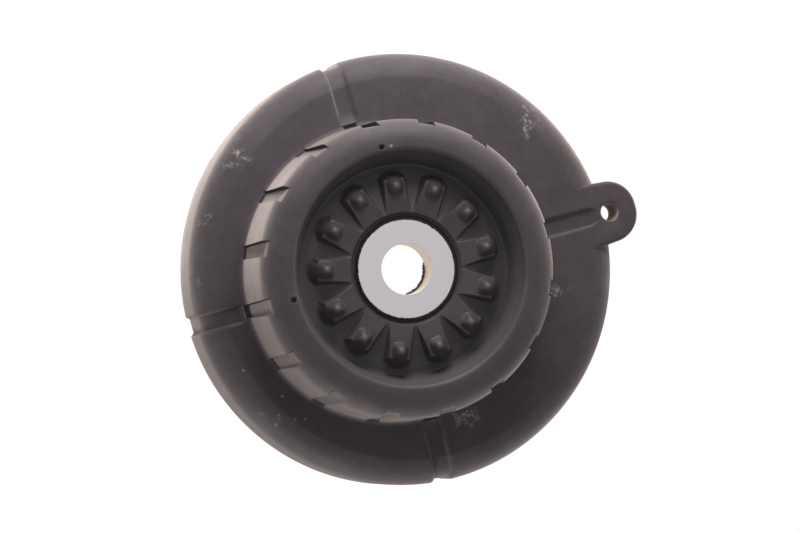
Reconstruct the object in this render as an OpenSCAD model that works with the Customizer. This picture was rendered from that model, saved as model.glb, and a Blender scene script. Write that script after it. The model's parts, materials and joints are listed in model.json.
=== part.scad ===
// Strut mount: one moulded rubber body around a bonded steel bush.
// Millimetres, +Z up along the bore, ear along +X, origin at the middle of the bore.

/* [Flange] */
// Outer radius of the flange
flange_r = 60.5; // [52:0.1:70]
// Thickness of the flange
flange_h = 22.5; // [18:0.5:26]
// Rounding of the flange's upper edge
flange_edge = 8; // [2.5:0.5:11]
// Rounding of the flange's lower edge
base_edge = 1.5; // [0.5:0.25:3]
// Distance from the bore axis to the flange's centre, towards the ear
flange_shift = 5.2; // [0:0.1:8]

/* [Grooves on the flange] */
// Width of a groove
groove_w = 5; // [2:0.2:8]
// Depth of a groove
groove_depth = 1; // [0.4:0.1:2]
// Length of flange left between the blind groove and the flange's edge
groove_stop = 4.2; // [3:0.2:10]

/* [Boss] */
// Height of the rim above the base
boss_h = 50; // [44:0.5:56]
// Width of the rim, from the cup's mouth to the boss's wall
rim_w = 9.2; // [8:0.2:13]
// Extra radius of the boss at its foot
boss_draft = 0.8; // [0:0.1:2]
// Outer rounding of the rim
rim_round = 6; // [3:0.5:7]
// Fillet between the boss and the flange
foot_fillet = 2.5; // [1:0.25:4]

/* [Notches round the boss] */
// Number of notches
notch_count = 16; // [8:4:24]
// Width of a notch
notch_w = 4.8; // [2:0.2:7]
// Depth of a notch
notch_depth = 1.2; // [0.4:0.1:2]
// Height of a notch's foot above the flange
notch_foot = 0.2; // [0.1:0.1:2]

/* [Cup] */
// Radius of the cup at its mouth
cup_mouth_r = 32; // [29:0.5:36]
// Extra radius of the cup at its mouth, over its floor
cup_draft = 3; // [1:0.25:4]
// Depth of the cup's floor below the rim, at the wall
cup_depth = 9; // [7:0.25:10]
// Rounding of the rim towards the cup
mouth_round = 1.6; // [0.5:0.1:3]
// Height of the collar above the cup's floor
collar_rise = 2.6; // [1:0.1:4]
// Width of the collar round the bush
collar_w = 1.4; // [0.8:0.1:3]

/* [Teeth] */
// Number of teeth
tooth_count = 13; // [7:1:13]
// Width of a tooth at its foot
tooth_w = 7.4; // [5:0.2:7.6]
// Width of a tooth at its crest
crest_w = 2.4; // [1.5:0.1:4]
// Height of the crest above the collar
crest_rise = 3.2; // [1.5:0.1:4]
// Length of the flat pad at a tooth's inner end
pad_len = 3.2; // [2:0.1:4]
// Length of the ramp from the pad to the crest
ramp_len = 3.4; // [1:0.1:4]
// Length of the crest
crest_len = 1.8; // [1:0.1:3]
// Length of the steep outer end
heel_len = 1.6; // [0.8:0.1:3]

/* [Bush] */
// Radius of the bore, for the strut's rod
bore_r = 7; // [5:0.1:9]
// Outer radius of the bush
bush_r = 14.2; // [11:0.1:16]
// Length of the bush
bush_len = 8.2; // [5:0.1:10]
// Chamfer at each end of the bore
bush_chamfer = 0.4; // [0.2:0.05:0.8]
// Width of the rubber lip that laps over the bush's edge
lip_lap = 0.7; // [0.3:0.1:1.5]
// Thickness of that lip
lip_t = 0.5; // [0.3:0.1:1]

/* [Underside] */
// Radius of the hollow in the underside
hollow_r = 30; // [24:0.5:34]
// Rounding at the top of the hollow
hollow_round = 4; // [1:0.5:6]
// Chamfer at the mouth of the hollow
hollow_chamfer = 1.5; // [0.5:0.25:3]
// Thickness of rubber under the bush
skin_t = 1.2; // [0.6:0.1:2.5]
// Gap between the bore and the hole in that rubber
skin_gap = 0.6; // [0.3:0.1:1.5]

/* [Ear] */
// Distance of the ear's hole beyond the flange's edge
ear_out = 0.3; // [0:0.1:10]
// Radius of the ear round its hole
ear_r = 8; // [6:0.25:10]
// Extra half width of the ear at its root
ear_flare = 1.5; // [0:0.25:3]
// Thickness of the ear
ear_t = 10.5; // [4:0.5:12]
// Radius of the ear's hole
ear_hole_r = 2.5; // [1.5:0.1:4]
// Extra radius of the clearance in the flange's side, below that hole
ear_relief = 1; // [0.3:0.1:2]

/* [Hidden] */
$fn = 96;

// Radii
cup_floor_r = cup_mouth_r - cup_draft;
boss_r = cup_mouth_r + rim_w;
boss_foot_r = boss_r + boss_draft;
collar_r = bush_r + collar_w;
land_r = bush_r - lip_lap;
tooth_len = pad_len + ramp_len + crest_len + heel_len;
ear_x = flange_shift + flange_r + ear_out;
ear_root_x = flange_r - 2 * flange_edge;

// Heights above the base
cup_floor_z = boss_h - cup_depth;
collar_z = cup_floor_z + collar_rise;
crest_z = collar_z + crest_rise;
bush_top = collar_z - lip_t;
bush_z = bush_top - bush_len;
bore_mid_z = bush_z + bush_len / 2;
hollow_h = bush_z - skin_t;
ear_z = flange_h - ear_t;

// How far a cutter reaches past the solid that it cuts
past = 2;
// Keeps a rounding from running flush into the face next to it
bite = 0.05;
// Depth to which joined shapes reach into each other
root = 3;

// Moves a shape that stands on its base, so that the middle of the bore lies at the origin
module bore_at_origin() {
    translate([0, 0, -bore_mid_z]) children();
}

// Section of a disc with rounded lower and upper edges, beside the axis
module disc_section(r, h, low, high) {
    polygon([[0, 0], [r - low, 0], [r, low], [r, h - high], [r - high, h], [0, h]]);
    translate([r - low, low]) circle(low);
    translate([r - high, h - high]) circle(high);
}

// The flange's disc, made smaller all round by inset
module flange_disc(inset = 0) {
    drop = inset > 0 ? past : 0;
    translate([flange_shift, 0, -drop])
        rotate_extrude()
            disc_section(flange_r - inset, flange_h - inset + drop, base_edge, flange_edge - inset);
}

// Section of the boss with its rounded rim and the fillet at its foot
module boss_section() {
    polygon([
        [0, 0], [boss_foot_r, 0], [boss_foot_r, flange_h], [boss_r, boss_h - rim_round],
        [boss_r - rim_round, boss_h], [0, boss_h]
    ]);
    translate([boss_r - rim_round, boss_h - rim_round]) circle(rim_round);
    difference() {
        translate([boss_foot_r - root, flange_h - root]) square([root + foot_fillet, root + foot_fillet]);
        translate([boss_foot_r + foot_fillet, flange_h + foot_fillet - bite]) circle(foot_fillet);
    }
}

// Section of the cup above its sloping floor
module cup_section() {
    polygon([
        [0, collar_z], [collar_r, collar_z], [cup_floor_r, cup_floor_z],
        [cup_mouth_r, boss_h - mouth_round], [cup_mouth_r + mouth_round, boss_h + bite],
        [cup_mouth_r + mouth_round, boss_h + past], [0, boss_h + past]
    ]);
}

// Section of the hollow in the underside
module hollow_section() {
    polygon([
        [0, -past], [hollow_r + hollow_chamfer + past, -past], [hollow_r, hollow_chamfer],
        [hollow_r, hollow_h - hollow_round], [hollow_r - hollow_round, hollow_h], [0, hollow_h]
    ]);
    translate([hollow_r - hollow_round, hollow_h - hollow_round]) circle(hollow_round);
}

// One tooth along +X: its side view and its end view, crossed
module tooth() {
    intersection() {
        rotate([90, 0, 0])
            linear_extrude(tooth_w + past, center = true)
                polygon([
                    [collar_r, cup_floor_z - root], [collar_r, collar_z], [collar_r + pad_len, collar_z],
                    [collar_r + pad_len + ramp_len, crest_z],
                    [collar_r + pad_len + ramp_len + crest_len, crest_z],
                    [collar_r + tooth_len, cup_floor_z], [collar_r + tooth_len, cup_floor_z - root]
                ]);
        rotate([90, 0, 90])
            linear_extrude(collar_r + tooth_len + past)
                polygon([
                    [-tooth_w / 2, cup_floor_z - root], [tooth_w / 2, cup_floor_z - root],
                    [tooth_w / 2, cup_floor_z + collar_rise / 2], [crest_w / 2, crest_z],
                    [-crest_w / 2, crest_z], [-tooth_w / 2, cup_floor_z + collar_rise / 2]
                ]);
    }
}

// The ear without its hole
module ear() {
    translate([0, 0, ear_z])
        linear_extrude(ear_t) {
            translate([ear_x, 0]) circle(ear_r);
            polygon([
                [ear_root_x, -ear_r - ear_flare], [ear_x, -ear_r],
                [ear_x, ear_r], [ear_root_x, ear_r + ear_flare]
            ]);
        }
}

// Four grooves that follow the flange's skin: blind towards the ear, run out on the other sides
module grooves() {
    blind_end = flange_shift + flange_r - groove_stop;
    open_end = flange_shift + flange_r + past;
    difference() {
        for (turn = [0:90:270])
            rotate(turn)
                translate([boss_r, -groove_w / 2, -past])
                    cube([(turn == 0 ? blind_end : open_end) - boss_r, groove_w, flange_h + 2 * past]);
        flange_disc(groove_depth);
    }
}

// Notches up the boss's wall, one of them towards the ear
module notches() {
    for (i = [0:notch_count - 1])
        rotate(i * 360 / notch_count)
            translate([boss_r - notch_depth, -notch_w / 2, flange_h + notch_foot])
                cube([boss_draft + notch_depth + foot_fillet + past, notch_w, boss_h]);
}

// The moulded rubber body
module rubber_body() {
    color("#3a3638")
        bore_at_origin()
            difference() {
                union() {
                    difference() {
                        union() {
                            flange_disc();
                            rotate_extrude() boss_section();
                            ear();
                        }
                        rotate_extrude() cup_section();
                        notches();
                        grooves();
                    }
                    for (i = [0:tooth_count - 1])
                        rotate(i * 360 / tooth_count) tooth();
                }
                rotate_extrude() hollow_section();
                translate([0, 0, bush_z]) cylinder(r = bush_r, h = bush_len);
                translate([0, 0, bush_z]) cylinder(r = land_r, h = boss_h);
                translate([0, 0, hollow_h - past]) cylinder(r = bore_r + skin_gap, h = skin_t + 2 * past);
                translate([ear_x, 0, ear_z - past]) cylinder(r = ear_hole_r, h = ear_t + 2 * past);
                translate([ear_x, 0, -past]) cylinder(r = ear_hole_r + ear_relief, h = ear_z + past);
            }
}

// The steel bush bonded into the middle
module steel_bush() {
    color("#c2bdc1")
        bore_at_origin()
            rotate_extrude()
                polygon([
                    [bore_r, bush_z + bush_chamfer], [bore_r + bush_chamfer, bush_z], [bush_r, bush_z],
                    [bush_r, bush_top], [bore_r + bush_chamfer, bush_top], [bore_r, bush_top - bush_chamfer]
                ]);
}

rubber_body();
steel_bush();
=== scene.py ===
"""Looks of a strut mount: a moulded rubber body and a turned steel bush, on a white stage."""
import json
import math
from collections import namedtuple
from types import SimpleNamespace

import bmesh
import bpy
from bpy.props import FloatProperty, FloatVectorProperty, IntProperty, PointerProperty
from bpy.types import Operator, Panel, PropertyGroup
from mathutils import Matrix, Vector, noise


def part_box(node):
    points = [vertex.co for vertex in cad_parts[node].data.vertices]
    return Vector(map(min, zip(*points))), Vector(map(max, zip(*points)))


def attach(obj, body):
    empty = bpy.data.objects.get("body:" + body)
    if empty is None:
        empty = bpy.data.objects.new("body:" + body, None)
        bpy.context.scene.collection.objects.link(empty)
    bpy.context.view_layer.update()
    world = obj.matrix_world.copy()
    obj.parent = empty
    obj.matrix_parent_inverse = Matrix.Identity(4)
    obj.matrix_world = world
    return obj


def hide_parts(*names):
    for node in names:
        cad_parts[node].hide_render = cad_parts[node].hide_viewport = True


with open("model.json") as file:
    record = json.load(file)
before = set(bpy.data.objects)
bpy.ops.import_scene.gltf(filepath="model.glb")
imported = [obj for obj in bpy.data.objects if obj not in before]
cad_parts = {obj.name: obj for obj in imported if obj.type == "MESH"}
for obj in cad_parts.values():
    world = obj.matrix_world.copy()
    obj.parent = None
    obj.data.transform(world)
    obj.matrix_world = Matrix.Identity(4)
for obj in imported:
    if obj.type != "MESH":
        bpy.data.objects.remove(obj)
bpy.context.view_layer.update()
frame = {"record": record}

bl_info = {
    "name": "Strut Mount",
    "version": (1, 0, 0),
    "blender": (4, 5, 0),
    "location": "3D View > Sidebar > Strut Mount",
    "description": "Models a rubber strut mount with its steel bush and a white stage",
    "category": "Add Mesh",
}

MM = 0.001
BODY_LOW, BODY_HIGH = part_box("rubber_body")
BUSH_LOW, BUSH_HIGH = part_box("steel_bush")
MOUNTS = {mount["name"]: mount for mount in frame["record"]["mounts"]}
BORE_R = MOUNTS["strut_bore"]["dims"]["r_mm"]
EAR_HOLE = MOUNTS["ear_hole"]


def length(name, description, millimetres):
    """A length property, given in millimetres and kept in metres."""
    return FloatProperty(
        name=name, description=description, default=millimetres * MM, unit="LENGTH", precision=5
    )


def angle(name, description, degrees):
    """An angle property, given in degrees and kept in radians."""
    return FloatProperty(name=name, description=description, default=math.radians(degrees), subtype="ANGLE")


def number(name, description, default, **limits):
    """A plain number property."""
    return FloatProperty(name=name, description=description, default=default, **limits)


def colour(name, description, linear):
    """A colour property in linear values."""
    return FloatVectorProperty(
        name=name, description=description, default=linear, subtype="COLOR", min=0, max=1
    )


# Settings


class FlangeSizes(PropertyGroup):
    """Sizes of the flange and its grooves"""

    radius: length("Radius", "Outer radius of the flange", BODY_HIGH.y / MM)
    thickness: length("Thickness", "Thickness of the flange", 22.5)
    edge: length("Upper edge", "Rounding of the upper edge", 8.0)
    bevel: length("Bevel", "Distance from the side to where the top starts to fall", 7.0)
    bevel_drop: length("Bevel drop", "Fall of the top from there to the side, before its rounding", 2.1)
    bevel_soft: length("Bevel rounding", "Rounding where the fall starts", 4.0)
    base_edge: length("Lower edge", "Rounding of the lower edge", 1.5)
    shift: length("Shift", "Distance from the bore axis to the flange's centre", 5.2)
    groove_w: length("Groove width", "Width of a groove", 5.0)
    groove_depth: length("Groove depth", "Depth of a groove", 1.0)
    groove_stop: length("Groove stop", "Flange left between the blind groove and the edge", 4.8)


class BossSizes(PropertyGroup):
    """Sizes of the boss and its notches"""

    radius: length("Radius", "Radius below the rounded rim", 40.8)
    draft: length("Draft", "Extra radius at the foot", 0.7)
    rim_round: length("Rim", "Outer rounding of the rim", 6.6)
    foot_fillet: length("Foot", "Fillet between the boss and the flange", 1.3)
    notch_w: length("Notch width", "Width of a notch at its top", 4.5)
    notch_foot_w: length("Notch foot width", "Width of a notch at its foot", 3.7)
    notch_r: length("Notch radius", "Radius of a notch's floor at its top", 39.5)
    notch_foot_r: length("Notch foot radius", "Radius of a notch's floor at its foot", 40.9)
    notch_count: IntProperty(name="Notches", description="Notches round the wall", default=16, min=1)


class CupSizes(PropertyGroup):
    """Sizes of the cup, the collar and the teeth"""

    mouth_r: length("Mouth", "Radius at the mouth", 32.1)
    floor_r: length("Floor", "Radius at the floor", 29.0)
    depth: length("Depth", "Depth of the floor below the rim", 10.0)
    mouth_round: length("Mouth rounding", "Rounding of the rim towards the cup", 1.6)
    floor_round: length("Floor rounding", "Rounding between the floor and the wall", 0.4)
    collar_rise: length("Collar rise", "Height of the collar above the floor", 3.4)
    collar_r: length("Collar", "Radius of the collar round the bush", 15.6)
    tooth_count: IntProperty(name="Teeth", description="Teeth round the floor", default=13, min=1)
    tooth_len: length("Tooth length", "Length of a tooth", 10.3)
    pad_w: length("Pad width", "Width of a tooth's top at its inner end", 6.6)
    heel_w: length("Heel width", "Width of a tooth's top at its outer end", 5.6)
    heel_len: length("Heel", "Length of the steep outer end", 1.0)
    pad_len: length("Pad length", "Length of the sloping pad at the inner end", 4.0)
    pad_rise: length("Pad rise", "Rise of the pad over its length", 0.7)
    pad_soft: length("Pad edge", "Rounding of the tooth's edges", 0.5)
    knob_w: length("Knob width", "Width of the knob on a tooth", 4.7)
    knob_len: length("Knob length", "Length of that knob", 5.0)
    knob_place: length("Knob place", "Distance from the knob's middle to the tooth's outer end", 3.2)
    crest_rise: length("Crest rise", "Height of the knob above the collar", 3.4)


class UndersideSizes(PropertyGroup):
    """Sizes of the hollow in the underside and of the seat for the bush"""

    hollow_r: length("Hollow", "Radius of the hollow", 30.0)
    hollow_round: length("Hollow rounding", "Rounding at the top of the hollow", 4.0)
    hollow_chamfer: length("Hollow chamfer", "Chamfer at the mouth of the hollow", 1.5)
    skin_t: length("Skin", "Thickness of rubber under the bush", 1.2)
    skin_gap: length("Skin gap", "Gap between the bore and the hole in that rubber", 0.6)
    lip_lap: length("Lip lap", "Width of the lip that laps over the bush's stepped edge", 0.7)
    lip_seat: length("Lip seat", "Depth of the bush's stepped edge", 1.5)
    seam_depth: length("Seam", "Depth of the seam round the bush, below its face", 0.9)


class EarSizes(PropertyGroup):
    """Sizes of the ear"""

    radius: length("Radius", "Radius of the ear round its hole", 8.0)
    flare: length("Flare", "Extra half width at the root", 1.5)
    thickness: length("Thickness", "Thickness of the ear", 10.5)
    edge: length("Edge", "Rounding of the ear's edges", 1.2)
    hole_edge: length("Hole edge", "Rounding at the hole's upper end", 0.7)
    relief: length("Relief", "Extra radius of the clearance below the hole", 1.0)


class BushSizes(PropertyGroup):
    """Sizes of the steel bush"""

    bore_r: length("Bore", "Radius of the bore", BORE_R)
    chamfer: length("Chamfer", "Chamfer at each end of the bore", 0.12)
    edge: length("Edge", "Rounding of the outer edges", 0.2)


class RubberFinish(PropertyGroup):
    """Colours of the rubber"""

    dark: colour("Dark", "Rubber in its darker patches", (0.043, 0.0355, 0.0435))
    light: colour("Light", "Rubber in its paler patches", (0.066, 0.0545, 0.065))
    # Painted shade: near-black rubber put into the seam round the bush and along the notches' sides and
    # feet, where shade falls
    clean: colour("Clean", "Rubber in the recesses, where no bloom lies", (0.016, 0.014, 0.015))
    bloom: colour("Bloom", "Dusty bloom at glancing angles", (1.0, 0.86, 0.79))
    bloom_weight: number("Bloom weight", "Strength of that bloom", 1.0, min=0, max=1)
    chalk: colour("Chalk", "Chalky scuffs", (0.40, 0.37, 0.37))
    # Painted light: paler rubber put over the whole cup, more towards its wall, and as a painted highlight
    # on the teeth's crests
    worn: colour("Worn", "Paler rubber on the teeth's crests", (0.17, 0.16, 0.17))
    # Painted light: warm light put on the wall of the ear's hole
    sand: colour("Sand", "Dusty wall of the ear's hole", (0.27, 0.20, 0.12))


class SteelFinish(PropertyGroup):
    """Colours of the steel"""

    face: colour("Face", "Machined end face", (0.575, 0.553, 0.575))
    # Painted reflection: warm tone on the bore's wall, standing in for warm light reflected there
    bore: colour("Bore", "Wall of the bore", (1.0, 0.86, 0.71))


class StageSettings(PropertyGroup):
    """Camera, lamps and floor"""

    aim: FloatVectorProperty(
        name="Aim", description="Point in the middle of the picture", default=(0.00342, 0.00084, -0.0175),
        subtype="XYZ", unit="LENGTH",
    )
    tilt: angle("Tilt", "Camera's angle from straight above", 13.0)
    turn: angle("Turn", "Direction of that tilt", -3.0)
    roll: angle("Roll", "Camera's roll", 15.45)
    distance: length("Distance", "Camera's distance from its aim", 1000.0)
    lens: number("Lens", "Focal length in millimetres", 161.64)
    key_power: number("Key", "Power of the main lamp in watts", 0.57)
    fill_power: number("Fill", "Power of the low lamp in watts", 1.4)
    sky: number("Sky", "Strength of the even light from all round", 0.29)
    floor: colour("Floor", "Colour of the floor", (0.72, 0.70, 0.68))
    floor_glow: number("Floor white", "Share of plain white in the floor", 0.94)


class StrutMountSettings(PropertyGroup):
    """All settings of the strut mount"""

    flange: PointerProperty(type=FlangeSizes)
    boss: PointerProperty(type=BossSizes)
    cup: PointerProperty(type=CupSizes)
    underside: PointerProperty(type=UndersideSizes)
    ear: PointerProperty(type=EarSizes)
    bush: PointerProperty(type=BushSizes)
    rubber: PointerProperty(type=RubberFinish)
    steel: PointerProperty(type=SteelFinish)
    stage: PointerProperty(type=StageSettings)


# Shared shaping tools

# Distance below which points are merged, and the slack in telling which surface a point lies on
MERGE = 0.001 * MM
SLACK = 0.01 * MM

# A corner of an outline: its place and rounding, and the steps of that rounding and of the run after it
Corner = namedtuple("Corner", "r z rounding arc run", defaults=(0.0, 1, 1))


def smooth(low, high, value):
    """Goes softly from 0 at low to 1 at high."""
    share = min(max((value - low) / (high - low), 0.0), 1.0)
    return share * share * (3.0 - 2.0 * share)


def soft_min(a, b, width):
    """The lower of two values, rounded where they are closer than width."""
    near = max(width - abs(a - b), 0.0) / width
    return min(a, b) - near * near * width / 4.0


def soft_max(a, b, width):
    """The higher of two values, rounded where they are closer than width."""
    return -soft_min(-a, -b, width)


def bump(value, centre, width):
    """A bell of height 1 round centre."""
    return math.exp(-(((value - centre) / width) ** 2))


def corner_arc(before, corner, after):
    """Points of the arc that rounds one corner of an outline."""
    place = Vector((corner.r, corner.z))
    if corner.rounding == 0.0:
        return [place]
    back = (Vector((before.r, before.z)) - place).normalized()
    ahead = (Vector((after.r, after.z)) - place).normalized()
    half = back.angle(ahead) / 2.0
    centre = place + (back + ahead).normalized() * (corner.rounding / math.sin(half))
    reach = corner.rounding / math.tan(half)
    first = place + back * reach - centre
    last = place + ahead * reach - centre
    start = math.atan2(first.y, first.x)
    sweep = math.remainder(math.atan2(last.y, last.x) - start, math.tau)
    turns = [start + sweep * step / corner.arc for step in range(corner.arc + 1)]
    return [centre + Vector((math.cos(turn), math.sin(turn))) * corner.rounding for turn in turns]


def outline_points(corners):
    """Points round a closed outline, with its corners rounded and its straight runs divided."""
    count = len(corners)
    arcs = [corner_arc(corners[i - 1], corners[i], corners[(i + 1) % count]) for i in range(count)]
    points = []
    for i, corner in enumerate(corners):
        start = arcs[i][-1]
        end = arcs[(i + 1) % count][0]
        points += arcs[i]
        points += [start.lerp(end, step / corner.run) for step in range(1, corner.run)]
    return points


def spun(points, steps):
    """A bmesh made by turning a closed outline once round the Z axis."""
    bm = bmesh.new()
    ring = [bm.verts.new((point.x, 0.0, point.y)) for point in points]
    edges = [bm.edges.new((ring[i - 1], ring[i])) for i in range(len(ring))]
    bmesh.ops.spin(
        bm, geom=ring + edges, cent=(0, 0, 0), axis=(0, 0, 1), angle=math.tau, steps=steps, use_merge=True
    )
    bmesh.ops.remove_doubles(bm, verts=bm.verts, dist=MERGE)
    bmesh.ops.delete(bm, geom=[edge for edge in bm.edges if edge.is_wire], context="EDGES")
    bmesh.ops.recalc_face_normals(bm, faces=bm.faces)
    return bm


def mesh_object(name, bm, material=None):
    """Turns a bmesh into an object in the scene."""
    mesh = bpy.data.meshes.new(name)
    bm.to_mesh(mesh)
    bm.free()
    obj = bpy.data.objects.new(name, mesh)
    bpy.context.collection.objects.link(obj)
    if material:
        mesh.materials.append(material)
    return obj


def combine(obj, tool, operation):
    """Applies a Boolean with a tool object, which is then deleted."""
    modifier = obj.modifiers.new("Combine", "BOOLEAN")
    modifier.operation = operation
    modifier.solver = "EXACT"
    modifier.object = tool
    bpy.context.view_layer.objects.active = obj
    bpy.ops.object.modifier_apply(modifier=modifier.name)
    bpy.data.meshes.remove(tool.data)


def finish_shading(obj, sharp_angle):
    """Smooth faces, with the edges over an angle kept sharp."""
    obj.data.polygons.foreach_set("use_smooth", [True] * len(obj.data.polygons))
    obj.data.set_sharp_from_angle(angle=sharp_angle)


# Moulded rubber body

# Columns of points round the body, steps round its holes and pits, and the angle of its sharp edges
COLUMNS = 624
HOLE_STEPS = 64
PIT_STEPS = 16
SHARP = math.radians(40.0)
# Columns on each side of a notch's middle, and those over which the slide beside it dies out
NOTCH_COLUMNS = 5
NOTCH_FADE = 8
# Half the run of a notch's side wall
NOTCH_SIDE = 0.05 * MM
# Number of grooves, and the angles beside one over which columns turn to run along it
GROOVES = 4
WARP_START = math.radians(26.0)
WARP_FULL = math.radians(6.0)
# Where a groove's sides and the blind one's end start and reach full depth, beyond its edge
GROOVE_SIDE = (0.3 * MM, -0.5 * MM)
GROOVE_END = (1.2 * MM, -1.6 * MM)
# Depths of the fine lines on the cup's wall below the rim, in millimetres
WALL_LINES = (5.2, 2.9)
# Section of such a line, in millimetres: how far each corner lies below its middle, and how far it is sunk
WALL_LINE_SECTION = ((0.25, 0.0), (0.0, 0.16), (-0.2, -0.06), (-0.4, 0.0))
# Steepness of the teeth's side walls, and the run over which they rise from the collar
TOOTH_WALL = 3.5
TOOTH_START = 0.6 * MM
# Powers that shape the teeth's knobs in plan and in height
SQUARE = 3.0
DOME = 1.7
# Places of the two small pits on the rim, in millimetres
RIM_PITS = ((0.78, 33.63), (-33.74, 0.10))
# Height, radius and width of the raised edge round a pit
PIT_EDGE_H = 0.12 * MM
PIT_EDGE_R = 1.25 * MM
PIT_EDGE_W = 0.35 * MM
# How unevenly the lip round the bush runs
LIP_WANDER = 0.35 * MM
# Reach of the torn flash in the bore, and how unevenly it runs
FLASH_REACH = 1.0 * MM
FLASH_WANDER = 0.4 * MM
# Directions in degrees over which that flash comes up at its two ends
FLASH_START = (-104.0, -84.0)
FLASH_END = (9.0, -5.0)
# How far the ear's top lies below the flange's
EAR_SINK = 0.04 * MM


def body_places(s):
    """Radii and heights of the rubber body that follow from the settings."""
    p = SimpleNamespace()
    p.base_z = BODY_LOW.z
    p.rim_z = BODY_HIGH.z
    p.flange_z = p.base_z + s.flange.thickness
    p.floor_z = p.rim_z - s.cup.depth
    p.collar_z = p.floor_z + s.cup.collar_rise
    p.crest_z = p.collar_z + s.cup.crest_rise
    p.bush_low = BUSH_LOW.z
    p.bush_top = BUSH_HIGH.z
    p.bush_r = BUSH_HIGH.x
    p.land_r = p.bush_r - s.underside.lip_lap
    p.skin_hole_r = s.bush.bore_r + s.underside.skin_gap
    p.hollow_z = p.bush_low - s.underside.skin_t
    p.boss_foot_r = s.boss.radius + s.boss.draft
    p.flat_start = p.boss_foot_r + s.boss.foot_fillet
    p.flat_end = s.flange.radius - s.flange.edge
    p.edge_z = p.flange_z - s.flange.edge
    p.seam_z = p.bush_top - s.underside.seam_depth
    p.seat_z = p.bush_top - s.underside.lip_seat
    p.ear_x = EAR_HOLE["pos_m"][0]
    p.ear_hole_r = EAR_HOLE["dims"]["r_mm"] * MM
    p.ear_z = p.flange_z - s.ear.thickness
    p.ear_half = s.ear.radius + s.ear.flare
    p.ear_root_x = s.flange.shift + math.sqrt(p.flat_end ** 2 - p.ear_half ** 2) - 0.5 * MM
    return p


def ring_line(drop, s, p):
    """Corners of one fine line round the cup's wall, at a depth below the rim in millimetres."""
    lean = (s.cup.mouth_r - s.cup.floor_r) / s.cup.depth
    corners = []
    for lower, sunk in WALL_LINE_SECTION:
        below = (drop + lower) * MM
        corners.append(Corner(s.cup.mouth_r - below * lean + sunk * MM, p.rim_z - below))
    return corners


def floor_corner(r, s, p, run):
    """A corner on the straight slope of the cup's floor."""
    fall = (r - s.cup.collar_r) / (s.cup.floor_r - s.cup.collar_r)
    return Corner(r, p.collar_z - s.cup.collar_rise * fall, run=run)


def body_outline(s, p):
    """The body's section beside the bore axis, as a closed outline."""
    flange, boss, cup, under = s.flange, s.boss, s.cup, s.underside
    teeth = tooth_places(s, p)
    wall_lines = [corner for drop in WALL_LINES for corner in ring_line(drop, s, p)]
    lip_and_seam = [
        Corner(p.land_r, p.bush_top + 0.06 * MM),
        Corner(p.land_r + 0.3 * MM, p.bush_top + 0.02 * MM),
        Corner(p.land_r + 0.45 * MM, p.seam_z, run=2),
        Corner(p.land_r + 0.9 * MM, p.seam_z),
        Corner(p.land_r + 1.1 * MM, p.seam_z + 0.4 * MM),
        Corner(p.land_r + 1.3 * MM, p.seam_z + 0.3 * MM, run=3),
    ]
    inside = [
        Corner(cup.collar_r, p.collar_z, run=26),
        floor_corner(teeth.heel - 0.2 * MM, s, p, 9),
        floor_corner(teeth.end + 0.2 * MM, s, p, 5),
        Corner(cup.floor_r, p.floor_z, cup.floor_round, 2, 3),
        *wall_lines,
        Corner(cup.mouth_r, p.rim_z, cup.mouth_round, 7, 2),
    ]
    outside = [
        Corner(boss.radius, p.rim_z, boss.rim_round, 11, 6),
        Corner(p.boss_foot_r, p.flange_z, boss.foot_fillet, 7, 5),
        Corner(flange.radius - flange.bevel, p.flange_z, flange.bevel_soft, 3),
        Corner(flange.radius, p.flange_z - flange.bevel_drop, flange.edge, 11, 2),
        Corner(flange.radius, p.base_z, flange.base_edge, 3, 3),
    ]
    underside = [
        Corner(under.hollow_r + under.hollow_chamfer, p.base_z),
        Corner(under.hollow_r, p.base_z + under.hollow_chamfer, run=3),
        Corner(under.hollow_r, p.hollow_z, under.hollow_round, 5, 5),
        Corner(p.skin_hole_r, p.hollow_z, run=2),
    ]
    seat = [
        Corner(p.skin_hole_r, p.bush_low, run=2),
        Corner(p.bush_r, p.bush_low, run=2),
        Corner(p.bush_r, p.seat_z),
        Corner(p.land_r, p.seat_z),
    ]
    return outline_points(lip_and_seam + inside + outside + underside + seat)


def from_nearest(turn, count):
    """Angle from the nearest of several directions spread evenly round the axis."""
    pitch = math.tau / count
    return math.remainder(turn, pitch)


def tooth_places(s, p):
    """Distances from the bore axis to a tooth's knob, heel and end, and the height of its flat top."""
    cup = s.cup
    t = SimpleNamespace()
    t.end = cup.collar_r + cup.tooth_len
    t.heel = t.end - cup.heel_len
    t.knob = t.end - cup.knob_place
    t.top_z = p.collar_z + cup.pad_rise
    return t


def tooth_top(along, across, s, p):
    """Height of a tooth's skin at a place along and across it: a block with a knob on its outer half."""
    cup = s.cup
    t = tooth_places(s, p)
    half = (cup.pad_w + (cup.heel_w - cup.pad_w) * (along - cup.collar_r) / cup.tooth_len) / 2.0
    pad = min(p.collar_z + (along - cup.collar_r) * cup.pad_rise / cup.pad_len, t.top_z)
    heel = t.top_z - (along - t.heel) * (t.top_z - p.floor_z) / cup.heel_len
    wall = t.top_z - (abs(across) - half) * TOOTH_WALL
    block = soft_min(soft_min(pad, heel, cup.pad_soft), wall, cup.pad_soft)
    ahead = abs(2.0 * (along - t.knob) / cup.knob_len)
    aside = abs(2.0 * across / cup.knob_w)
    away = (ahead ** SQUARE + aside ** SQUARE) ** (1.0 / SQUARE)
    knob = t.top_z + (p.crest_z - t.top_z) * (1.0 - away ** DOME)
    return soft_max(block, knob, cup.pad_soft)


def raise_teeth(r, turn, z, s, p):
    """Lifts the cup's floor to the teeth."""
    offset = from_nearest(turn, s.cup.tooth_count)
    top = tooth_top(r, r * offset, s, p)
    lifted = soft_max(z, top, s.cup.pad_soft)
    return z + (lifted - z) * smooth(s.cup.collar_r, s.cup.collar_r + TOOTH_START, r)


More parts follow.
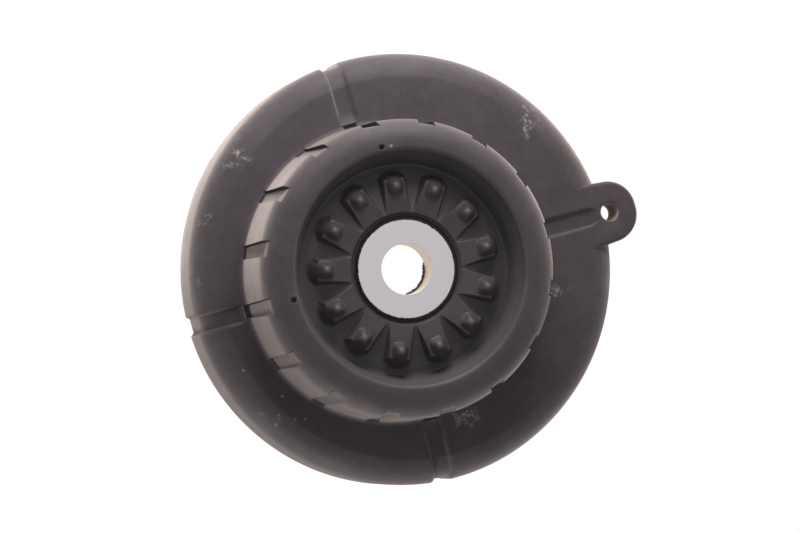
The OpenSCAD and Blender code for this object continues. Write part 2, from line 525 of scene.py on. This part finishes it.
def pit_rim(x, y):
    """Height of the raised edge round the small pits on the rim."""
    place = Vector((x, y))
    ways = [(place - Vector(pit) * MM).length for pit in RIM_PITS]
    return PIT_EDGE_H * max(bump(way, PIT_EDGE_R, PIT_EDGE_W) for way in ways)


def lip_wander(turn, size):
    """Uneven run of a torn rubber edge."""
    coarse = noise.noise(Vector((math.cos(turn) * 6.0, math.sin(turn) * 6.0, 0.3)))
    fine = noise.noise(Vector((math.cos(turn) * 26.0, math.sin(turn) * 26.0, 7.1)))
    return size * (0.6 * coarse + 0.8 * fine)


def bore_flash(turn):
    """How far the torn flash under the bush reaches into the bore."""
    degrees = math.degrees(turn)
    share = smooth(*FLASH_START, degrees) * smooth(*FLASH_END, degrees)
    return share * (FLASH_REACH + lip_wander(turn, FLASH_WANDER))


def groove_warp(turn, r, centre_x, p):
    """Turns a column of points to run along the nearest groove, and gives its distance from the middle."""
    offset = from_nearest(turn, GROOVES)
    direction = turn - offset
    across = p.flat_start * math.sin(offset)
    centre_across = -centre_x * math.sin(direction)
    parallel = math.asin(min(max((across - centre_across) / r, -1.0), 1.0))
    pull = smooth(WARP_START, WARP_FULL, abs(offset))
    return direction + offset + (parallel - offset) * pull, across


def groove_share(turn, r, across, s):
    """1 in a groove, 0 beside it and past the end of the blind one."""
    half = s.flange.groove_w / 2.0
    share = smooth(half + GROOVE_SIDE[0], half + GROOVE_SIDE[1], abs(across))
    if abs(turn) < math.pi / GROOVES:
        stop = s.flange.radius - s.flange.groove_stop
        share *= smooth(stop + GROOVE_END[0], stop + GROOVE_END[1], r)
    return share


def flange_point(r, turn, z, s, p):
    """A point of the flange, with its rings slid off the bore axis and its grooves sunk."""
    slide = min(max((r - p.flat_start) / (p.flat_end - p.flat_start), 0.0), 1.0)
    centre_x = s.flange.shift * slide
    turned, across = groove_warp(turn, r, centre_x, p)
    sunk = s.flange.groove_depth * groove_share(turn, r, across, s)
    if r > p.flat_end:
        out = Vector((r - p.flat_end, max(z - p.edge_z, 0.0))).normalized()
    else:
        out = Vector((0.0, 1.0 if z > p.edge_z else 0.0))
    r -= sunk * out.x
    z -= sunk * out.y
    return Vector((centre_x + r * math.cos(turned), r * math.sin(turned), z))


def notch_turn(turn, half, r, s):
    """Slides a column of points to a notch's side, and tells whether it lies in the notch."""
    offset = from_nearest(turn, s.boss.notch_count)
    step = math.tau / COLUMNS
    column = round(abs(offset) / step)
    inside = column <= NOTCH_COLUMNS
    side = NOTCH_COLUMNS + 1
    if inside:
        moved = (half - NOTCH_SIDE) / r * column / NOTCH_COLUMNS
    elif column < side + NOTCH_FADE:
        edge = (half + NOTCH_SIDE) / r
        moved = edge + ((side + NOTCH_FADE) * step - edge) * (column - side) / NOTCH_FADE
    else:
        moved = abs(offset)
    return turn - offset + math.copysign(moved, offset), inside


def boss_point(r, turn, z, s, p):
    """A point of the boss's outside, with its notches cut and its foot led into the grooves."""
    boss = s.boss
    rise = (z - p.flange_z) / (p.rim_z - p.flange_z)
    half = (boss.notch_foot_w + (boss.notch_w - boss.notch_foot_w) * rise) / 2.0
    floor_r = boss.notch_foot_r + (boss.notch_r - boss.notch_foot_r) * rise
    turned, inside = notch_turn(turn, half, r, s)
    drop = min(max(1.0 - (z - p.flange_z) / boss.foot_fillet, 0.0), 1.0)
    fillet_share = math.acos(drop) / (math.pi / 2.0)
    if inside and fillet_share < 1.0:
        r -= (p.boss_foot_r - boss.notch_foot_r) * smooth(0.0, 0.6, fillet_share)
    elif inside:
        r = min(r, floor_r)
    groove = groove_share(turn, r, p.flat_start * math.sin(from_nearest(turn, GROOVES)), s)
    z -= s.flange.groove_depth * groove * smooth(1.0, 0.6, fillet_share)
    return Vector((r * math.cos(turned), r * math.sin(turned), z))


def body_point(place, s, p):
    """Where a point of the plain spun body goes on the moulded one."""
    r = math.hypot(place.x, place.y)
    turn = math.atan2(place.y, place.x)
    z = place.z
    if z < p.flange_z + SLACK and r > p.flat_start - SLACK:
        return flange_point(r, turn, z, s, p)
    if z > p.flange_z and r > s.boss.notch_r:
        return boss_point(r, turn, z, s, p)
    if s.cup.collar_r < r < s.cup.floor_r and p.floor_z < z < p.collar_z:
        z = raise_teeth(r, turn, z, s, p)
    elif z > p.bush_top and r < p.land_r + 0.4 * MM:
        r += lip_wander(turn, LIP_WANDER)
    elif z > p.floor_z and s.cup.floor_r < r < s.boss.radius:
        z += pit_rim(r * math.cos(turn), r * math.sin(turn)) * smooth(p.rim_z - 0.5 * MM, p.rim_z, z)
    elif r < p.skin_hole_r + SLACK:
        r -= bore_flash(turn)
    return Vector((r * math.cos(turn), r * math.sin(turn), z))


def ear_tool(s, p):
    """The ear without its hole, as a bmesh."""
    ear = s.ear
    end_x = p.ear_x + ear.radius
    top_z = p.flange_z - EAR_SINK
    plan = outline_points([
        Corner(p.ear_root_x, -p.ear_half, run=2),
        Corner(end_x, -ear.radius, ear.radius * 0.999, 28, 1),
        Corner(end_x, ear.radius, ear.radius * 0.999, 28, 2),
        Corner(p.ear_root_x, p.ear_half),
    ])
    bm = bmesh.new()
    ring = [bm.verts.new((point.x, point.y, p.ear_z)) for point in plan]
    face = bm.faces.new(ring)
    lifted = bmesh.ops.extrude_face_region(bm, geom=[face])["geom"]
    tops = [item for item in lifted if isinstance(item, bmesh.types.BMVert)]
    bmesh.ops.translate(bm, verts=tops, vec=(0, 0, top_z - p.ear_z))
    level = [edge for edge in bm.edges if abs(edge.verts[0].co.z - edge.verts[1].co.z) < SLACK]
    rims = [edge for edge in level if max(vert.co.x for vert in edge.verts) > p.ear_root_x + SLACK]
    bmesh.ops.bevel(
        bm, geom=rims, offset=ear.edge, offset_type="OFFSET", affect="EDGES", segments=4, profile=0.5,
        material=-1,
    )
    bmesh.ops.recalc_face_normals(bm, faces=bm.faces)
    return bm


def ear_hole_outline(s, p):
    """Section of the ear's hole and of the clearance below it."""
    wide = p.ear_hole_r + s.ear.relief
    flare = p.ear_hole_r + s.ear.hole_edge + 0.15 * MM
    low = p.base_z - s.flange.base_edge
    high = p.flange_z + s.flange.edge
    return outline_points([
        Corner(0.0, low),
        Corner(wide, low),
        Corner(wide, p.ear_z),
        Corner(p.ear_hole_r, p.ear_z),
        Corner(p.ear_hole_r, p.flange_z, s.ear.hole_edge, 5, 1),
        Corner(flare, p.flange_z),
        Corner(flare, high),
        Corner(0.0, high),
    ])


def pit_outline(p):
    """Section of a small pit on the rim."""
    return outline_points([
        Corner(0.0, p.rim_z - 1.8 * MM),
        Corner(0.65 * MM, p.rim_z - 1.7 * MM),
        Corner(0.85 * MM, p.rim_z - 0.1 * MM),
        Corner(1.15 * MM, p.rim_z + 1.0 * MM),
        Corner(0.0, p.rim_z + 1.0 * MM),
    ])


def groove_end_tool(s, p):
    """The cutter for the end of the blind groove, which runs out into the ear, as a bmesh."""
    half = s.flange.groove_w / 2.0
    depth = s.flange.groove_depth
    start = p.ear_root_x - 1.5 * MM
    stop = s.flange.shift + s.flange.radius - s.flange.groove_stop
    ramp = stop - 0.8 * MM
    floor_half = half - 0.4 * MM
    mouth_half = half + 1.1 * MM
    end_half = half - 1.0 * MM
    sections = (
        (start, floor_half, -depth),
        (start, mouth_half, depth),
        (ramp, floor_half, -depth),
        (ramp, mouth_half, depth),
        (stop + 1.5 * MM, end_half, 0.0),
        (stop + 1.6 * MM, end_half, depth),
    )
    bm = bmesh.new()
    for x, reach, rise in sections:
        bm.verts.new((x, -reach, p.flange_z + rise))
        bm.verts.new((x, reach, p.flange_z + rise))
    bmesh.ops.convex_hull(bm, input=bm.verts)
    bmesh.ops.recalc_face_normals(bm, faces=bm.faces)
    return bm


def holes_tool(s, p):
    """The cutters for the ear's hole, the blind groove's end and the pits on the rim, as one bmesh."""
    bm = spun(ear_hole_outline(s, p), HOLE_STEPS)
    bmesh.ops.translate(bm, verts=bm.verts, vec=(p.ear_x, 0, 0))
    cutters = [groove_end_tool(s, p)]
    for x, y in RIM_PITS:
        pit = spun(pit_outline(p), PIT_STEPS)
        bmesh.ops.translate(pit, verts=pit.verts, vec=(x * MM, y * MM, 0))
        cutters.append(pit)
    for cutter in cutters:
        mesh = bpy.data.meshes.new("cutter")
        cutter.to_mesh(mesh)
        cutter.free()
        bm.from_mesh(mesh)
        bpy.data.meshes.remove(mesh)
    return bm


# Materials

# Chalky scuffs: place and reach in millimetres
SCUFFS = (
    (-46.5, 28.1, -17.0, 3.5), (-33.7, 44.1, -17.0, 5.0), (-54.3, 14.1, -21.0, 4.0),
    (50.5, 31.0, -17.0, 5.0), (61.0, 21.0, -20.0, 4.0), (-44.4, -29.9, -17.0, 3.0),
    (10.2, -43.9, -16.5, 4.0), (45.6, -17.4, -16.5, 3.0),
)
# Small pale dots: place and reach in millimetres
DOTS = (
    (3.3, 33.3, 11.0, 0.7), (-47.2, -15.3, -16.6, 0.7), (-38.6, -25.0, -16.5, 0.6),
    (-45.9, -26.1, -17.0, 0.7), (-36.8, -32.1, -16.6, 0.5), (-34.1, -32.8, -16.5, 0.5),
    (-46.8, 28.6, -17.0, 0.6), (-46.0, 27.6, -17.0, 0.5), (-44.9, 26.4, -16.8, 0.5),
    (-47.9, 23.9, -17.0, 0.5),
)
# Reach of the warm light painted round the middle of the ear's hole, in millimetres
WARM_LIGHT_REACH = 7.0
# Noises: scale, detail and roughness
RUBBER_PATCHES = (90.0, 8.0, 0.75)
RUBBER_GLOSS = (140.0, 4.0, 0.6)
RUBBER_GRAIN = (1600.0, 3.0, 0.6)
BLOOM_STREAKS = (260.0, 5.0, 0.7)
SCUFF_EDGE = (260.0, 2.0, 0.5)
SCUFF_PATCHES = (420.0, 3.0, 0.6)
SCUFF_GRAIN = (1300.0, 6.0, 0.75)
SPECKS = (1100.0, 2.0, 0.5)
STEEL_GRAIN = (1900.0, 3.0, 0.7)
# How the streaks of the bloom are drawn out round the part
STREAK_SCALE = (1.0, 1.0, 5.0)


def new_material(name):
    """A material with an empty Principled shader, and its node tree."""
    material = bpy.data.materials.new(name)
    material.use_nodes = True
    tree = material.node_tree
    shader = tree.nodes["Principled BSDF"]
    return material, tree, shader


def add_node(tree, kind, settings=None, **inputs):
    """Adds a node; inputs take numbers, colours or other nodes' outputs."""
    node = tree.nodes.new(kind)
    for key, value in (settings or {}).items():
        setattr(node, key, value)
    for key, value in inputs.items():
        socket = node.inputs[int(key[1:])] if key[1:].isdigit() else node.inputs[key]
        if isinstance(value, bpy.types.NodeSocket):
            tree.links.new(value, socket)
        else:
            socket.default_value = value
    return node


def place_noise(tree, recipe, stretch=(1.0, 1.0, 1.0)):
    """Noise on the piece's own coordinates, with a scale, a detail and a roughness."""
    scale, detail, roughness = recipe
    place = add_node(tree, "ShaderNodeTexCoord").outputs["Object"]
    if stretch != (1.0, 1.0, 1.0):
        place = add_node(tree, "ShaderNodeMapping", Vector=place, Scale=stretch).outputs[0]
    inputs = {"Vector": place, "Scale": scale, "Detail": detail, "Roughness": roughness}
    return add_node(tree, "ShaderNodeTexNoise", None, **inputs).outputs["Fac"]


def ranged(tree, value, low, high, to_low, to_high):
    """Maps a value from one range to another, held at the ends."""
    node = add_node(tree, "ShaderNodeMapRange", None, _0=value, _1=low, _2=high, _3=to_low, _4=to_high)
    return node.outputs["Result"]


def mixed(tree, share, first, second):
    """Mix of two colours."""
    node = add_node(tree, "ShaderNodeMix", {"data_type": "RGBA"}, _0=share, _6=first, _7=second)
    return node.outputs[2]


def math_node(tree, operation, value, *others):
    """Arithmetic on two or more values, one after the other."""
    for other in others:
        value = add_node(tree, "ShaderNodeMath", {"operation": operation}, _0=value, _1=other).outputs[0]
    return value


def solid_colour(value):
    """A colour with full alpha."""
    return (*value, 1.0)


def band(tree, value, low, high, soft):
    """1 where a value lies between two limits, softly 0 outside."""
    rise = ranged(tree, value, low - soft, low, 0.0, 1.0)
    fall = ranged(tree, value, high, high + soft, 1.0, 0.0)
    return math_node(tree, "MULTIPLY", rise, fall)


def own_places(tree):
    """The piece's own coordinates: the place, its X, Y and Z, and the distance from the bore axis."""
    place = add_node(tree, "ShaderNodeTexCoord").outputs["Object"]
    parts = add_node(tree, "ShaderNodeSeparateXYZ", Vector=place).outputs
    flat = add_node(tree, "ShaderNodeCombineXYZ", X=parts["X"], Y=parts["Y"]).outputs[0]
    radius = add_node(tree, "ShaderNodeVectorMath", {"operation": "LENGTH"}, _0=flat).outputs["Value"]
    return SimpleNamespace(place=place, x=parts["X"], y=parts["Y"], z=parts["Z"], radius=radius)


def cup_shares(tree, own, s, p):
    """Shares of the cup's inside, of the light painted into it and of the shade painted into the seam round
    the bush.
    """
    level = band(tree, own.z, p.seat_z - 3.0 * MM, p.rim_z - 0.5 * MM, 0.4 * MM)
    mouth = ranged(tree, own.radius, s.cup.mouth_r + 0.8 * MM, s.cup.mouth_r + 2.2 * MM, 1.0, 0.0)
    inside = math_node(tree, "MULTIPLY", mouth, level)
    teeth = tooth_places(s, p)
    # Painted light: the cup made paler, more towards its wall
    pale = ranged(tree, own.radius, teeth.knob + 0.5 * MM, teeth.end, 0.12, 0.32)
    # Painted shade in the seam round the bush
    seam = band(tree, own.radius, p.land_r, p.land_r + 0.9 * MM, 0.3 * MM)
    return inside, math_node(tree, "MULTIPLY", pale, inside), math_node(tree, "MULTIPLY", seam, inside)


def painted_crest_highlight(tree, own, s, p):
    """Share of the highlight painted on the crests of the teeth's knobs."""
    end = tooth_places(s, p).end
    crest = ranged(tree, own.z, p.crest_z - 0.7 * MM, p.crest_z - 0.1 * MM, 0.0, 0.5)
    teeth = ranged(tree, own.radius, end - 0.3 * MM, end + 0.3 * MM, 1.0, 0.0)
    return math_node(tree, "MULTIPLY", crest, teeth)


def painted_notch_shade(tree, own, s, p):
    """Share of painted shade: 1 along one side of each notch and across its foot."""
    boss = s.boss
    pitch = math.tau / boss.notch_count
    turn = math_node(tree, "ARCTAN2", own.y, own.x)
    offset = add_node(tree, "ShaderNodeMath", {"operation": "WRAP"}, _0=turn, _1=pitch / 2, _2=-pitch / 2)
    across = math_node(tree, "MULTIPLY", offset.outputs[0], own.radius)
    half = ranged(tree, own.z, p.flange_z, p.rim_z, boss.notch_foot_w / 2.0, boss.notch_w / 2.0)
    side = band(tree, math_node(tree, "ADD", across, half), -0.1 * MM, 0.2 * MM, 0.12 * MM)
    skin = band(tree, own.radius, boss.notch_r, p.boss_foot_r + 0.2 * MM, 0.4 * MM)
    wall = band(tree, own.z, p.flange_z + 0.02 * MM, p.rim_z - 2.4 * MM, 0.3 * MM)
    line = math_node(tree, "MULTIPLY", side, skin, wall)
    foot = band(tree, own.z, p.flange_z + 0.3 * MM, p.flange_z + 0.5 * MM, 0.12 * MM)
    ring = band(tree, own.radius, boss.notch_foot_r, p.boss_foot_r + 1.5 * MM, 0.3 * MM)
    beyond = math_node(tree, "SUBTRACT", math_node(tree, "ABSOLUTE", across, 0.0), half)
    within = ranged(tree, beyond, -0.3 * MM, 0.0, 0.9, 0.0)
    crease = math_node(tree, "MULTIPLY", foot, ring, within)
    return math_node(tree, "MAXIMUM", line, crease)


def spot_share(tree, own, spots, uneven=0.0):
    """1 in the middle of each round spot, given in millimetres, falling to 0 at its uneven edge."""
    total = 0.0
    for x, y, z, reach in spots:
        centre = (x * MM, y * MM, z * MM)
        away = add_node(tree, "ShaderNodeVectorMath", {"operation": "DISTANCE"}, _0=own.place, _1=centre)
        reached = math_node(tree, "ADD", away.outputs["Value"], uneven)
        total = math_node(tree, "MAXIMUM", total, ranged(tree, reached, 0.0, reach * MM, 1.0, 0.0))
    return total


def painted_warm_light_share(tree, own, p):
    """Share of warm light painted on the wall of the ear's hole, 0 on the ear's faces."""
    middle_z = (p.ear_z + p.flange_z) / 2.0
    near = spot_share(tree, own, [(p.ear_x / MM, 0.0, middle_z / MM, WARM_LIGHT_REACH)])
    flat = add_node(tree, "ShaderNodeCombineXYZ", X=own.x, Y=own.y).outputs[0]
    axis = (p.ear_x, 0.0, 0.0)
    away = add_node(tree, "ShaderNodeVectorMath", {"operation": "DISTANCE"}, _0=flat, _1=axis)
    edge = p.ear_hole_r
    wall = ranged(tree, away.outputs["Value"], edge + 0.05 * MM, edge + 0.3 * MM, 1.0, 0.0)
    return math_node(tree, "MULTIPLY", ranged(tree, near, 0.0, 0.3, 0.0, 1.0), wall)


def chalk_share(tree, own):
    """Share of chalk in the scuffs and in the fine specks all over the rubber."""
    uneven = ranged(tree, place_noise(tree, SCUFF_EDGE), 0.35, 0.65, -1.5 * MM, 3.0 * MM)
    spots = ranged(tree, spot_share(tree, own, SCUFFS, uneven), 0.0, 0.5, 0.0, 1.0)
    patches = ranged(tree, place_noise(tree, SCUFF_PATCHES), 0.42, 0.56, 0.0, 1.0)
    grains = ranged(tree, place_noise(tree, SCUFF_GRAIN), 0.44, 0.62, 0.0, 1.0)
    worn = math_node(tree, "MULTIPLY", spots, patches, grains)
    specks = ranged(tree, place_noise(tree, SPECKS), 0.70, 0.78, 0.0, 0.18)
    dots = ranged(tree, spot_share(tree, own, DOTS), 0.2, 0.7, 0.0, 0.7)
    return math_node(tree, "MAXIMUM", worn, specks, dots)


def rubber_material(s, p):
    """Matte black moulded rubber with a dusty bloom and scuffs, with shade painted into the seam and the
    notches and light painted into the cup.
    """
    finish = s.rubber
    material, tree, shader = new_material("moulded_rubber")
    own = own_places(tree)
    cloud = ranged(tree, place_noise(tree, RUBBER_PATCHES), 0.35, 0.65, 0.0, 1.0)
    base = mixed(tree, cloud, solid_colour(finish.dark), solid_colour(finish.light))
    inside, pale, seam = cup_shares(tree, own, s, p)
    notch_shade = painted_notch_shade(tree, own, s, p)
    # Painted light in the cup, painted shade in the seam and notches, a painted highlight on the crests,
    # real chalky scuffs, and painted warm light in the ear's hole
    layers = (
        (pale, finish.worn),
        (math_node(tree, "MAXIMUM", seam, notch_shade), finish.clean),
        (painted_crest_highlight(tree, own, s, p), finish.worn),
        (chalk_share(tree, own), finish.chalk),
        (painted_warm_light_share(tree, own, p), finish.sand),
    )
    for share, tint in layers:
        base = mixed(tree, share, base, solid_colour(tint))
    tree.links.new(base, shader.inputs["Base Color"])
    rough = ranged(tree, place_noise(tree, RUBBER_GLOSS), 0.3, 0.7, 0.50, 0.64)
    tree.links.new(ranged(tree, inside, 0.0, 1.0, rough, 0.42), shader.inputs["Roughness"])
    shader.inputs["Specular IOR Level"].default_value = 0.22
    streaks = place_noise(tree, BLOOM_STREAKS, STREAK_SCALE)
    dust = ranged(tree, streaks, 0.32, 0.68, finish.bloom_weight * 0.65, finish.bloom_weight)
    # No sheen inside the cup, nor on the painted shade of the notches
    bare = ranged(tree, math_node(tree, "MAXIMUM", inside, notch_shade), 0.0, 1.0, 1.0, 0.0)
    tree.links.new(math_node(tree, "MULTIPLY", dust, bare), shader.inputs["Sheen Weight"])
    shader.inputs["Sheen Roughness"].default_value = 0.5
    shader.inputs["Sheen Tint"].default_value = solid_colour(finish.bloom)
    grain = place_noise(tree, RUBBER_GRAIN)
    relief = add_node(tree, "ShaderNodeBump", Strength=0.35, Distance=0.08 * MM, Height=grain)
    tree.links.new(relief.outputs["Normal"], shader.inputs["Normal"])
    return material


def steel_material(finish):
    """Fine machined steel: pale matte faces, and a warm reflection painted on the bore."""
    material, tree, shader = new_material("machined_steel")
    normal = add_node(tree, "ShaderNodeNewGeometry").outputs["Normal"]
    upright = add_node(tree, "ShaderNodeSeparateXYZ", Vector=normal).outputs["Z"]
    face_share = math_node(tree, "ABSOLUTE", upright, 0.0)
    # Painted reflection: the warm tone goes on the upright walls
    base = mixed(tree, face_share, solid_colour(finish.bore), solid_colour(finish.face))
    tree.links.new(base, shader.inputs["Base Color"])
    shader.inputs["Metallic"].default_value = 0.6
    grain = place_noise(tree, STEEL_GRAIN)
    tree.links.new(ranged(tree, grain, 0.3, 0.7, 0.42, 0.58), shader.inputs["Roughness"])
    relief = add_node(tree, "ShaderNodeBump", Strength=0.3, Distance=0.03 * MM, Height=grain)
    tree.links.new(relief.outputs["Normal"], shader.inputs["Normal"])
    return material


# Operators

# Columns of points round the bush, and the angle of its sharp edges
BUSH_COLUMNS = 192
BUSH_SHARP = math.radians(30.0)
# Half the floor's width in metres, and the strength at which it is seen as white
FLOOR_HALF = 2.5
FLOOR_WHITE = 1.06
# Tints of the lamps and of the even light
LAMP_TINT = (1.0, 0.985, 0.98)
SKY_TINT = (1.0, 0.99, 0.985)
# Main lamp: shares of the camera's back, up and right directions, then its distance and width in metres
KEY_BACK, KEY_UP, KEY_RIGHT = 0.39, 0.92, 0.03
KEY_DISTANCE = 0.218
KEY_SIZE = 0.16
# Low lamp: shares of the camera's down and left directions, then its distance and width in metres and its
# height as a share of the body's
LOW_DOWN, LOW_LEFT = 0.9, 0.38
LOW_DISTANCE = 0.6
LOW_WIDTH = 0.25
LOW_HEIGHT = 0.92
# Camera's sensor width in millimetres, and the nearest distance it shows in metres
SENSOR_WIDTH = 36.0
CLIP_START = 0.01


def settings_of(context):
    """The strut mount's settings in the current scene."""
    return context.scene.strut_mount


class MESH_OT_strut_mount_body(Operator):
    """Models the moulded rubber body"""

    bl_idname = "mesh.strut_mount_body"
    bl_label = "Rubber Body"

    def execute(self, context):
        s = settings_of(context)
        p = body_places(s)
        bm = spun(body_outline(s, p), COLUMNS)
        for vert in bm.verts:
            vert.co = body_point(vert.co.copy(), s, p)
        body = mesh_object("moulded_body", bm, rubber_material(s, p))
        combine(body, mesh_object("ear", ear_tool(s, p)), "UNION")
        combine(body, mesh_object("holes", holes_tool(s, p)), "DIFFERENCE")
        finish_shading(body, SHARP)
        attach(body, "root")
        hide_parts("rubber_body")
        return {"FINISHED"}


class MESH_OT_strut_mount_bush(Operator):
    """Models the turned steel bush"""

    bl_idname = "mesh.strut_mount_bush"
    bl_label = "Steel Bush"

    def execute(self, context):
        s = settings_of(context)
        p = body_places(s)
        bush = s.bush
        points = outline_points([
            Corner(bush.bore_r, BUSH_LOW.z + bush.chamfer, run=4),
            Corner(bush.bore_r, BUSH_HIGH.z - bush.chamfer),
            Corner(bush.bore_r + bush.chamfer, BUSH_HIGH.z, run=4),
            Corner(p.land_r, BUSH_HIGH.z, bush.edge, 3, 2),
            Corner(p.land_r, p.seat_z),
            Corner(BUSH_HIGH.x, p.seat_z, run=2),
            Corner(BUSH_HIGH.x, BUSH_LOW.z, bush.edge, 3, 4),
            Corner(bush.bore_r + bush.chamfer, BUSH_LOW.z),
        ])
        piece = mesh_object("turned_bush", spun(points, BUSH_COLUMNS), steel_material(s.steel))
        finish_shading(piece, BUSH_SHARP)
        piece.modifiers.new("Flat faces", "WEIGHTED_NORMAL").keep_sharp = True
        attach(piece, "root")
        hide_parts("steel_bush")
        return {"FINISHED"}


def camera_axes(stage):
    """The camera's right, up and back directions."""
    back = Vector((
        -math.sin(stage.tilt) * math.cos(stage.turn),
        -math.sin(stage.tilt) * math.sin(stage.turn),
        math.cos(stage.tilt),
    ))
    level = (Vector((1, 0, 0)) - back * back.x).normalized()
    side = back.cross(level)
    right = level * math.cos(stage.roll) - side * math.sin(stage.roll)
    up = level * math.sin(stage.roll) + side * math.cos(stage.roll)
    return right, up, back


def add_camera(stage):
    """The camera at the photograph's viewing angle."""
    right, up, back = camera_axes(stage)
    camera = bpy.data.objects.new("camera", bpy.data.cameras.new("camera"))
    bpy.context.collection.objects.link(camera)
    turn = Matrix((right, up, back)).transposed().to_4x4()
    camera.matrix_world = Matrix.Translation(Vector(stage.aim) + back * stage.distance) @ turn
    camera.data.sensor_width = SENSOR_WIDTH
    camera.data.lens = stage.lens
    camera.data.clip_start = CLIP_START
    bpy.context.scene.camera = camera


def add_lamp(name, place, width, height, power, aim):
    """A soft lamp that looks at a point."""
    lamp = bpy.data.lights.new(name, "AREA")
    lamp.shape = "RECTANGLE"
    lamp.size = width
    lamp.size_y = height
    lamp.energy = power
    lamp.color = LAMP_TINT
    obj = bpy.data.objects.new(name, lamp)
    bpy.context.collection.objects.link(obj)
    obj.location = place
    obj.rotation_mode = "QUATERNION"
    obj.rotation_quaternion = (place - aim).to_track_quat("Z", "Y")


def seen_directly(tree):
    """1 for rays from the camera and for those mirrored or passed on by the object."""
    path = add_node(tree, "ShaderNodeLightPath").outputs
    rays = (path["Is Camera Ray"], path["Is Glossy Ray"], path["Is Transmission Ray"])
    return math_node(tree, "MAXIMUM", *rays)


def floor_material(stage):
    """White floor that still takes a faint shadow of the object."""
    material, tree, shader = new_material("floor_white")
    shader.inputs["Base Color"].default_value = solid_colour(stage.floor)
    shader.inputs["Roughness"].default_value = 0.9
    shader.inputs["Specular IOR Level"].default_value = 0.0
    glow = add_node(tree, "ShaderNodeEmission", Color=(1.0, 1.0, 1.0, 1.0), Strength=FLOOR_WHITE).outputs[0]
    share = math_node(tree, "MULTIPLY", seen_directly(tree), stage.floor_glow)
    blend = add_node(tree, "ShaderNodeMixShader", None, _0=share, _1=shader.outputs[0], _2=glow).outputs[0]
    tree.links.new(blend, tree.nodes["Material Output"].inputs["Surface"])
    return material


def add_sky(strength):
    """Even white light from all round, pure white where it is seen directly."""
    world = bpy.data.worlds.new("studio")
    bpy.context.scene.world = world
    world.use_nodes = True
    tree = world.node_tree
    light = tree.nodes["Background"]
    light.inputs["Color"].default_value = solid_colour(SKY_TINT)
    power = ranged(tree, seen_directly(tree), 0.0, 1.0, strength, 1.0)
    tree.links.new(power, light.inputs["Strength"])


class SCENE_OT_strut_mount_stage(Operator):
    """Adds the floor, the lamps and the camera"""

    bl_idname = "scene.strut_mount_stage"
    bl_label = "Stage"

    def execute(self, context):
        stage = settings_of(context).stage
        bm = bmesh.new()
        bmesh.ops.create_grid(bm, x_segments=8, y_segments=8, size=FLOOR_HALF)
        bmesh.ops.translate(bm, verts=bm.verts, vec=(0, 0, BODY_LOW.z))
        mesh_object("floor", bm, floor_material(stage))
        right, up, back = camera_axes(stage)
        aim = Vector(stage.aim)
        key_place = aim + (back * KEY_BACK + up * KEY_UP + right * KEY_RIGHT) * KEY_DISTANCE
        add_lamp("key_lamp", key_place, KEY_SIZE, KEY_SIZE, stage.key_power, aim)
        low_aim = Vector((aim.x, aim.y, (BODY_LOW.z + BODY_HIGH.z) / 2.0))
        aside = -up * LOW_DOWN - right * LOW_LEFT
        aside.z = 0.0
        low_place = low_aim + aside.normalized() * LOW_DISTANCE
        low_height = (BODY_HIGH.z - BODY_LOW.z) * LOW_HEIGHT
        add_lamp("low_lamp", low_place, LOW_WIDTH, low_height, stage.fill_power, low_aim)
        add_sky(stage.sky)
        add_camera(stage)
        context.scene.view_settings.view_transform = "Standard"
        return {"FINISHED"}


class VIEW3D_PT_strut_mount(Panel):
    """Lists the strut mount's pieces and settings"""

    bl_label = "Strut Mount"
    bl_space_type = "VIEW_3D"
    bl_region_type = "UI"
    bl_category = "Strut Mount"

    def draw(self, context):
        layout = self.layout
        s = settings_of(context)
        for operator in OPERATORS:
            layout.operator(operator.bl_idname)
        for group_name in StrutMountSettings.__annotations__:
            group = getattr(s, group_name)
            box = layout.box()
            box.label(text=group_name.title())
            for key in group.__annotations__:
                box.prop(group, key)


OPERATORS = (MESH_OT_strut_mount_body, MESH_OT_strut_mount_bush, SCENE_OT_strut_mount_stage)
GROUPS = (
    FlangeSizes, BossSizes, CupSizes, UndersideSizes, EarSizes, BushSizes,
    RubberFinish, SteelFinish, StageSettings, StrutMountSettings,
)
CLASSES = GROUPS + OPERATORS + (VIEW3D_PT_strut_mount,)


def register():
    """Registers the classes and the settings."""
    for cls in CLASSES:
        bpy.utils.register_class(cls)
    bpy.types.Scene.strut_mount = PointerProperty(type=StrutMountSettings)


def unregister():
    """Takes the settings and the classes away again."""
    del bpy.types.Scene.strut_mount
    for cls in reversed(CLASSES):
        bpy.utils.unregister_class(cls)


def main():
    """Builds the strut mount and its stage."""
    register()
    bpy.ops.mesh.strut_mount_body()
    bpy.ops.mesh.strut_mount_bush()
    bpy.ops.scene.strut_mount_stage()


if __name__ == "__main__":
    main()
